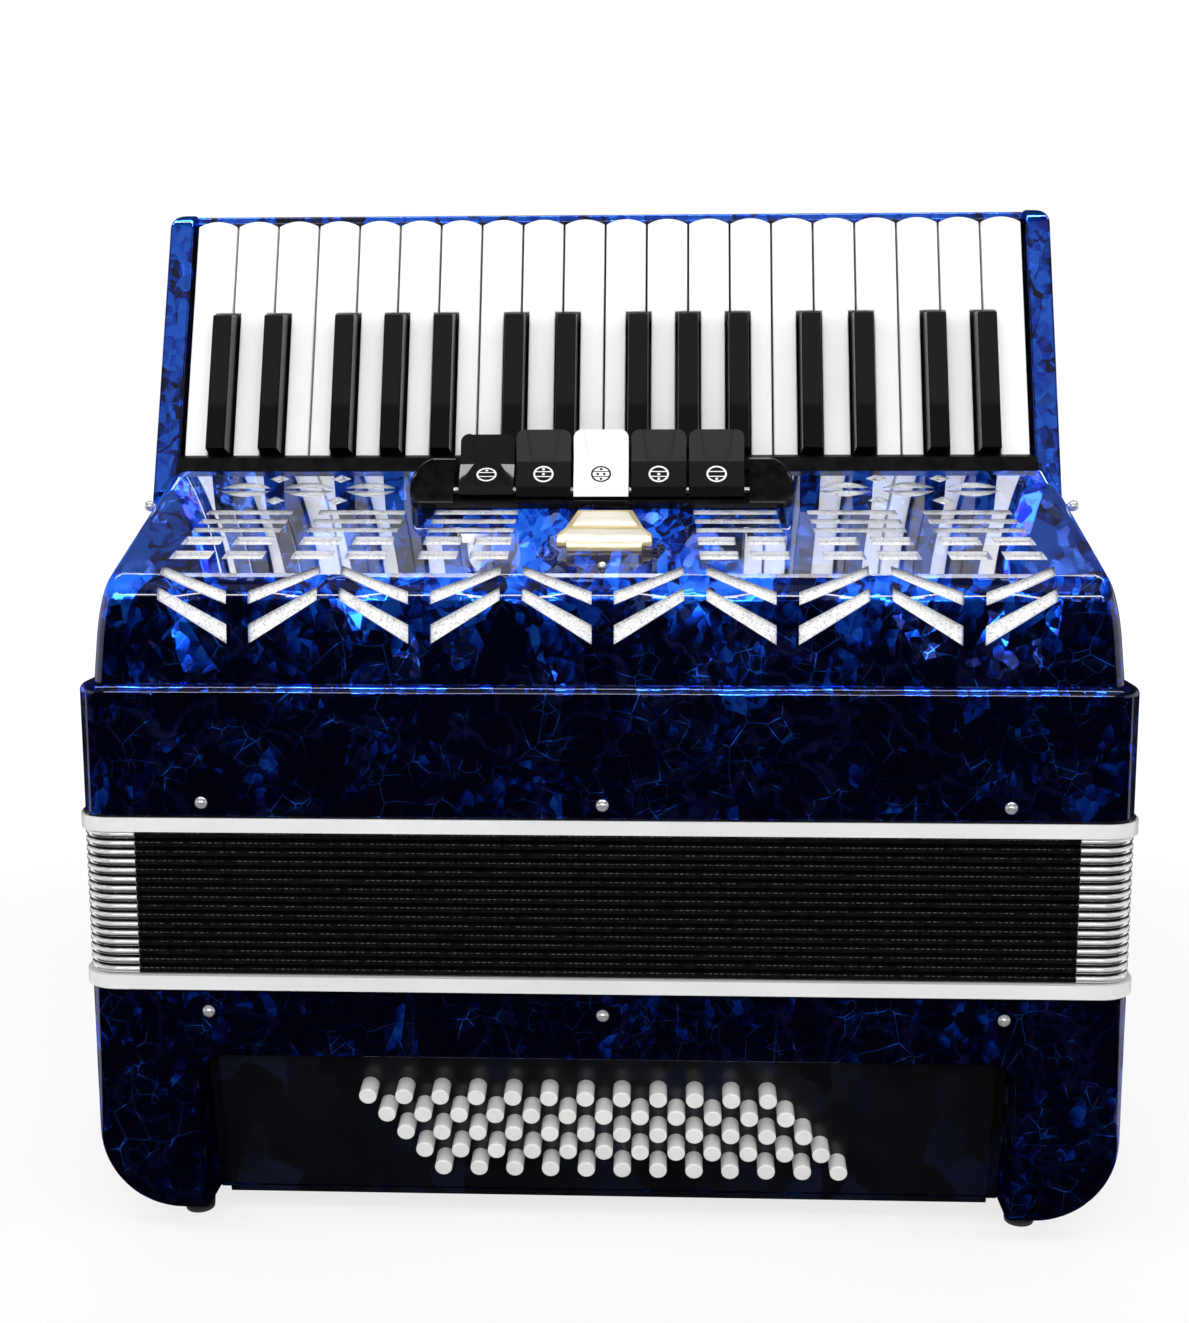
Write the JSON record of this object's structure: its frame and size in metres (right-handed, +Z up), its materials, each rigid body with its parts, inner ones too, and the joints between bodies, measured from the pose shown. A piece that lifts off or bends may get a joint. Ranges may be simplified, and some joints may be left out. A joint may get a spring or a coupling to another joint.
{
  "type": "piano accordion",
  "caption": "Piano accordion standing on its bass end with closed bellows, leaning keyboard, pierced grille, register switches and a recessed board of bass buttons.",
  "frame": {"origin": "middle of the plane the four feet stand on, below the middle of the body", "axes": "+Z up through the closed bellows towards the keyboard, +X along the body to the picture's right, -Y towards the grille and the buttons"},
  "size_m": [0.4382, 0.199, 0.4388],
  "materials": {
    "pearl_celluloid": "dark blue pearl with a high gloss",
    "black_plastic": "satin black",
    "board_black": "satin, dark with faint flakes",
    "button_ivory": "polished",
    "strap_leather": "smooth grain",
    "foot_rubber": "matt",
    "frame_white": "satin white",
    "chrome": "mirror polish",
    "reed_wood": "oiled",
    "bellows_cloth": "fine cloth",
    "gloss_black": "high gloss",
    "axle_steel": "ground",
    "switch_black": "high gloss",
    "switch_white": "high gloss",
    "key_white": "polished",
    "key_black": "satin"
  },
  "bodies": {
    "bass": {"bass_case": "pearl_celluloid", "bass_palm_plate": "black_plastic", "bass_button_board": "board_black", "bass_strap": "strap_leather", "rubber_feet": "foot_rubber", "bass_frame": "frame_white", "bass_pins": "chrome", "bass_reed_block": "reed_wood", "bellows_folds": "bellows_cloth", "bellows_corners": "chrome"},
    "treble": {"treble_case": "pearl_celluloid", "treble_grille": "pearl_celluloid", "keyboard_bed": "pearl_celluloid", "rail_and_register_plate": "gloss_black", "pivot_rods": "axle_steel", "treble_frame": "frame_white", "treble_fittings": "chrome", "treble_reed_blocks": "reed_wood"},
    "note_buttons": {"bass_note_buttons": "button_ivory"},
    "chord_buttons": {"bass_chord_buttons": "button_ivory"},
    "air_valve": {"air_button": "button_ivory"},
    "register_1": {"register_1": "switch_black"},
    "register_2": {"register_2": "switch_black"},
    "register_3": {"register_3": "switch_white"},
    "register_4": {"register_4": "switch_black"},
    "register_5": {"register_5": "switch_black"},
    "key_e6": {"key_e6": "key_white"},
    "key_ds6": {"key_ds6": "key_black"},
    "key_d6": {"key_d6": "key_white"},
    "key_cs6": {"key_cs6": "key_black"},
    "key_c6": {"key_c6": "key_white"},
    "key_b5": {"key_b5": "key_white"},
    "key_as5": {"key_as5": "key_black"},
    "key_a5": {"key_a5": "key_white"},
    "key_gs5": {"key_gs5": "key_black"},
    "key_g5": {"key_g5": "key_white"},
    "key_fs5": {"key_fs5": "key_black"},
    "key_f5": {"key_f5": "key_white"},
    "key_e5": {"key_e5": "key_white"},
    "key_ds5": {"key_ds5": "key_black"},
    "key_d5": {"key_d5": "key_white"},
    "key_cs5": {"key_cs5": "key_black"},
    "key_c5": {"key_c5": "key_white"},
    "key_b4": {"key_b4": "key_white"},
    "key_as4": {"key_as4": "key_black"},
    "key_a4": {"key_a4": "key_white"},
    "key_gs4": {"key_gs4": "key_black"},
    "key_g4": {"key_g4": "key_white"},
    "key_fs4": {"key_fs4": "key_black"},
    "key_f4": {"key_f4": "key_white"},
    "key_e4": {"key_e4": "key_white"},
    "key_ds4": {"key_ds4": "key_black"},
    "key_d4": {"key_d4": "key_white"},
    "key_cs4": {"key_cs4": "key_black"},
    "key_c4": {"key_c4": "key_white"},
    "key_b3": {"key_b3": "key_white"},
    "key_as3": {"key_as3": "key_black"},
    "key_a3": {"key_a3": "key_white"},
    "key_gs3": {"key_gs3": "key_black"},
    "key_g3": {"key_g3": "key_white"}
  },
  "joints": [
    {"name": "bellows_open", "type": "slide", "parent": "bass", "child": "treble", "axis": [0, 0, 1], "range_m": [0, 0.25], "deforming": ["bellows_folds", "bellows_corners"]},
    {"name": "note_buttons_press", "type": "slide", "parent": "bass", "child": "note_buttons", "axis": [0, 0.9781, 0.2079], "range_m": [0, 0.005], "stiffness_N_per_m": 600, "springref_m": -0.003},
    {"name": "chord_buttons_press", "type": "slide", "parent": "bass", "child": "chord_buttons", "axis": [0, 0.9781, 0.2079], "range_m": [0, 0.005], "stiffness_N_per_m": 600, "springref_m": -0.003},
    {"name": "air_valve_press", "type": "slide", "parent": "bass", "child": "air_valve", "axis": [0, 0, 1], "range_m": [0, 0.004], "stiffness_N_per_m": 300, "springref_m": -0.003},
    {"name": "register_1_turn", "type": "hinge", "parent": "treble", "child": "register_1", "pos_m": [-0.0508, -0.04747, 0.3173], "axis": [-1, 0, 0], "range_deg": [-18, 0]},
    {"name": "register_2_turn", "type": "hinge", "parent": "treble", "child": "register_2", "pos_m": [-0.0264, -0.04747, 0.3173], "axis": [-1, 0, 0], "range_deg": [0, 18]},
    {"name": "register_3_turn", "type": "hinge", "parent": "treble", "child": "register_3", "pos_m": [-0.002, -0.04747, 0.3173], "axis": [-1, 0, 0], "range_deg": [0, 18]},
    {"name": "register_4_turn", "type": "hinge", "parent": "treble", "child": "register_4", "pos_m": [0.0224, -0.04747, 0.3173], "axis": [-1, 0, 0], "range_deg": [0, 18]},
    {"name": "register_5_turn", "type": "hinge", "parent": "treble", "child": "register_5", "pos_m": [0.0468, -0.04747, 0.3173], "axis": [-1, 0, 0], "range_deg": [0, 18]},
    {"name": "key_e6_press", "type": "hinge", "parent": "treble", "child": "key_e6", "pos_m": [-0.18145, -0.02011, 0.31441], "axis": [-1, 0, 0], "range_deg": [0, 2.7], "stiffness_Nm_per_rad": 0.6, "springref_deg": -6.88},
    {"name": "key_ds6_press", "type": "hinge", "parent": "treble", "child": "key_ds6", "pos_m": [-0.1707, -0.02011, 0.31441], "axis": [-1, 0, 0], "range_deg": [0, 2.7], "stiffness_Nm_per_rad": 0.6, "springref_deg": -6.88},
    {"name": "key_d6_press", "type": "hinge", "parent": "treble", "child": "key_d6", "pos_m": [-0.15925, -0.02011, 0.31441], "axis": [-1, 0, 0], "range_deg": [0, 2.7], "stiffness_Nm_per_rad": 0.6, "springref_deg": -6.88},
    {"name": "key_cs6_press", "type": "hinge", "parent": "treble", "child": "key_cs6", "pos_m": [-0.1478, -0.02011, 0.31441], "axis": [-1, 0, 0], "range_deg": [0, 2.7], "stiffness_Nm_per_rad": 0.6, "springref_deg": -6.88},
    {"name": "key_c6_press", "type": "hinge", "parent": "treble", "child": "key_c6", "pos_m": [-0.13705, -0.02011, 0.31441], "axis": [-1, 0, 0], "range_deg": [0, 2.7], "stiffness_Nm_per_rad": 0.6, "springref_deg": -6.88},
    {"name": "key_b5_press", "type": "hinge", "parent": "treble", "child": "key_b5", "pos_m": [-0.12655, -0.02011, 0.31441], "axis": [-1, 0, 0], "range_deg": [0, 2.7], "stiffness_Nm_per_rad": 0.6, "springref_deg": -6.88},
    {"name": "key_as5_press", "type": "hinge", "parent": "treble", "child": "key_as5", "pos_m": [-0.1164, -0.02011, 0.31441], "axis": [-1, 0, 0], "range_deg": [0, 2.7], "stiffness_Nm_per_rad": 0.6, "springref_deg": -6.88},
    {"name": "key_a5_press", "type": "hinge", "parent": "treble", "child": "key_a5", "pos_m": [-0.10545, -0.02011, 0.31441], "axis": [-1, 0, 0], "range_deg": [0, 2.7], "stiffness_Nm_per_rad": 0.6, "springref_deg": -6.88},
    {"name": "key_gs5_press", "type": "hinge", "parent": "treble", "child": "key_gs5", "pos_m": [-0.0945, -0.02011, 0.31441], "axis": [-1, 0, 0], "range_deg": [0, 2.7], "stiffness_Nm_per_rad": 0.6, "springref_deg": -6.88},
    {"name": "key_g5_press", "type": "hinge", "parent": "treble", "child": "key_g5", "pos_m": [-0.08355, -0.02011, 0.31441], "axis": [-1, 0, 0], "range_deg": [0, 2.7], "stiffness_Nm_per_rad": 0.6, "springref_deg": -6.88},
    {"name": "key_fs5_press", "type": "hinge", "parent": "treble", "child": "key_fs5", "pos_m": [-0.0726, -0.02011, 0.31441], "axis": [-1, 0, 0], "range_deg": [0, 2.7], "stiffness_Nm_per_rad": 0.6, "springref_deg": -6.88},
    {"name": "key_f5_press", "type": "hinge", "parent": "treble", "child": "key_f5", "pos_m": [-0.06245, -0.02011, 0.31441], "axis": [-1, 0, 0], "range_deg": [0, 2.7], "stiffness_Nm_per_rad": 0.6, "springref_deg": -6.88},
    {"name": "key_e5_press", "type": "hinge", "parent": "treble", "child": "key_e5", "pos_m": [-0.05195, -0.02011, 0.31441], "axis": [-1, 0, 0], "range_deg": [0, 2.7], "stiffness_Nm_per_rad": 0.6, "springref_deg": -6.88},
    {"name": "key_ds5_press", "type": "hinge", "parent": "treble", "child": "key_ds5", "pos_m": [-0.0412, -0.02011, 0.31441], "axis": [-1, 0, 0], "range_deg": [0, 2.7], "stiffness_Nm_per_rad": 0.6, "springref_deg": -6.88},
    {"name": "key_d5_press", "type": "hinge", "parent": "treble", "child": "key_d5", "pos_m": [-0.02975, -0.02011, 0.31441], "axis": [-1, 0, 0], "range_deg": [0, 2.7], "stiffness_Nm_per_rad": 0.6, "springref_deg": -6.88},
    {"name": "key_cs5_press", "type": "hinge", "parent": "treble", "child": "key_cs5", "pos_m": [-0.0183, -0.02011, 0.31441], "axis": [-1, 0, 0], "range_deg": [0, 2.7], "stiffness_Nm_per_rad": 0.6, "springref_deg": -6.88},
    {"name": "key_c5_press", "type": "hinge", "parent": "treble", "child": "key_c5", "pos_m": [-0.00755, -0.02011, 0.31441], "axis": [-1, 0, 0], "range_deg": [0, 2.7], "stiffness_Nm_per_rad": 0.6, "springref_deg": -6.88},
    {"name": "key_b4_press", "type": "hinge", "parent": "treble", "child": "key_b4", "pos_m": [0.00295, -0.02011, 0.31441], "axis": [-1, 0, 0], "range_deg": [0, 2.7], "stiffness_Nm_per_rad": 0.6, "springref_deg": -6.88},
    {"name": "key_as4_press", "type": "hinge", "parent": "treble", "child": "key_as4", "pos_m": [0.0131, -0.02011, 0.31441], "axis": [-1, 0, 0], "range_deg": [0, 2.7], "stiffness_Nm_per_rad": 0.6, "springref_deg": -6.88},
    {"name": "key_a4_press", "type": "hinge", "parent": "treble", "child": "key_a4", "pos_m": [0.02405, -0.02011, 0.31441], "axis": [-1, 0, 0], "range_deg": [0, 2.7], "stiffness_Nm_per_rad": 0.6, "springref_deg": -6.88},
    {"name": "key_gs4_press", "type": "hinge", "parent": "treble", "child": "key_gs4", "pos_m": [0.035, -0.02011, 0.31441], "axis": [-1, 0, 0], "range_deg": [0, 2.7], "stiffness_Nm_per_rad": 0.6, "springref_deg": -6.88},
    {"name": "key_g4_press", "type": "hinge", "parent": "treble", "child": "key_g4", "pos_m": [0.04595, -0.02011, 0.31441], "axis": [-1, 0, 0], "range_deg": [0, 2.7], "stiffness_Nm_per_rad": 0.6, "springref_deg": -6.88},
    {"name": "key_fs4_press", "type": "hinge", "parent": "treble", "child": "key_fs4", "pos_m": [0.0569, -0.02011, 0.31441], "axis": [-1, 0, 0], "range_deg": [0, 2.7], "stiffness_Nm_per_rad": 0.6, "springref_deg": -6.88},
    {"name": "key_f4_press", "type": "hinge", "parent": "treble", "child": "key_f4", "pos_m": [0.06705, -0.02011, 0.31441], "axis": [-1, 0, 0], "range_deg": [0, 2.7], "stiffness_Nm_per_rad": 0.6, "springref_deg": -6.88},
    {"name": "key_e4_press", "type": "hinge", "parent": "treble", "child": "key_e4", "pos_m": [0.07755, -0.02011, 0.31441], "axis": [-1, 0, 0], "range_deg": [0, 2.7], "stiffness_Nm_per_rad": 0.6, "springref_deg": -6.88},
    {"name": "key_ds4_press", "type": "hinge", "parent": "treble", "child": "key_ds4", "pos_m": [0.0883, -0.02011, 0.31441], "axis": [-1, 0, 0], "range_deg": [0, 2.7], "stiffness_Nm_per_rad": 0.6, "springref_deg": -6.88},
    {"name": "key_d4_press", "type": "hinge", "parent": "treble", "child": "key_d4", "pos_m": [0.09975, -0.02011, 0.31441], "axis": [-1, 0, 0], "range_deg": [0, 2.7], "stiffness_Nm_per_rad": 0.6, "springref_deg": -6.88},
    {"name": "key_cs4_press", "type": "hinge", "parent": "treble", "child": "key_cs4", "pos_m": [0.1112, -0.02011, 0.31441], "axis": [-1, 0, 0], "range_deg": [0, 2.7], "stiffness_Nm_per_rad": 0.6, "springref_deg": -6.88},
    {"name": "key_c4_press", "type": "hinge", "parent": "treble", "child": "key_c4", "pos_m": [0.12195, -0.02011, 0.31441], "axis": [-1, 0, 0], "range_deg": [0, 2.7], "stiffness_Nm_per_rad": 0.6, "springref_deg": -6.88},
    {"name": "key_b3_press", "type": "hinge", "parent": "treble", "child": "key_b3", "pos_m": [0.13245, -0.02011, 0.31441], "axis": [-1, 0, 0], "range_deg": [0, 2.7], "stiffness_Nm_per_rad": 0.6, "springref_deg": -6.88},
    {"name": "key_as3_press", "type": "hinge", "parent": "treble", "child": "key_as3", "pos_m": [0.1426, -0.02011, 0.31441], "axis": [-1, 0, 0], "range_deg": [0, 2.7], "stiffness_Nm_per_rad": 0.6, "springref_deg": -6.88},
    {"name": "key_a3_press", "type": "hinge", "parent": "treble", "child": "key_a3", "pos_m": [0.15355, -0.02011, 0.31441], "axis": [-1, 0, 0], "range_deg": [0, 2.7], "stiffness_Nm_per_rad": 0.6, "springref_deg": -6.88},
    {"name": "key_gs3_press", "type": "hinge", "parent": "treble", "child": "key_gs3", "pos_m": [0.1645, -0.02011, 0.31441], "axis": [-1, 0, 0], "range_deg": [0, 2.7], "stiffness_Nm_per_rad": 0.6, "springref_deg": -6.88},
    {"name": "key_g3_press", "type": "hinge", "parent": "treble", "child": "key_g3", "pos_m": [0.17635, -0.02011, 0.31441], "axis": [-1, 0, 0], "range_deg": [0, 2.7], "stiffness_Nm_per_rad": 0.6, "springref_deg": -6.88}
  ]
}
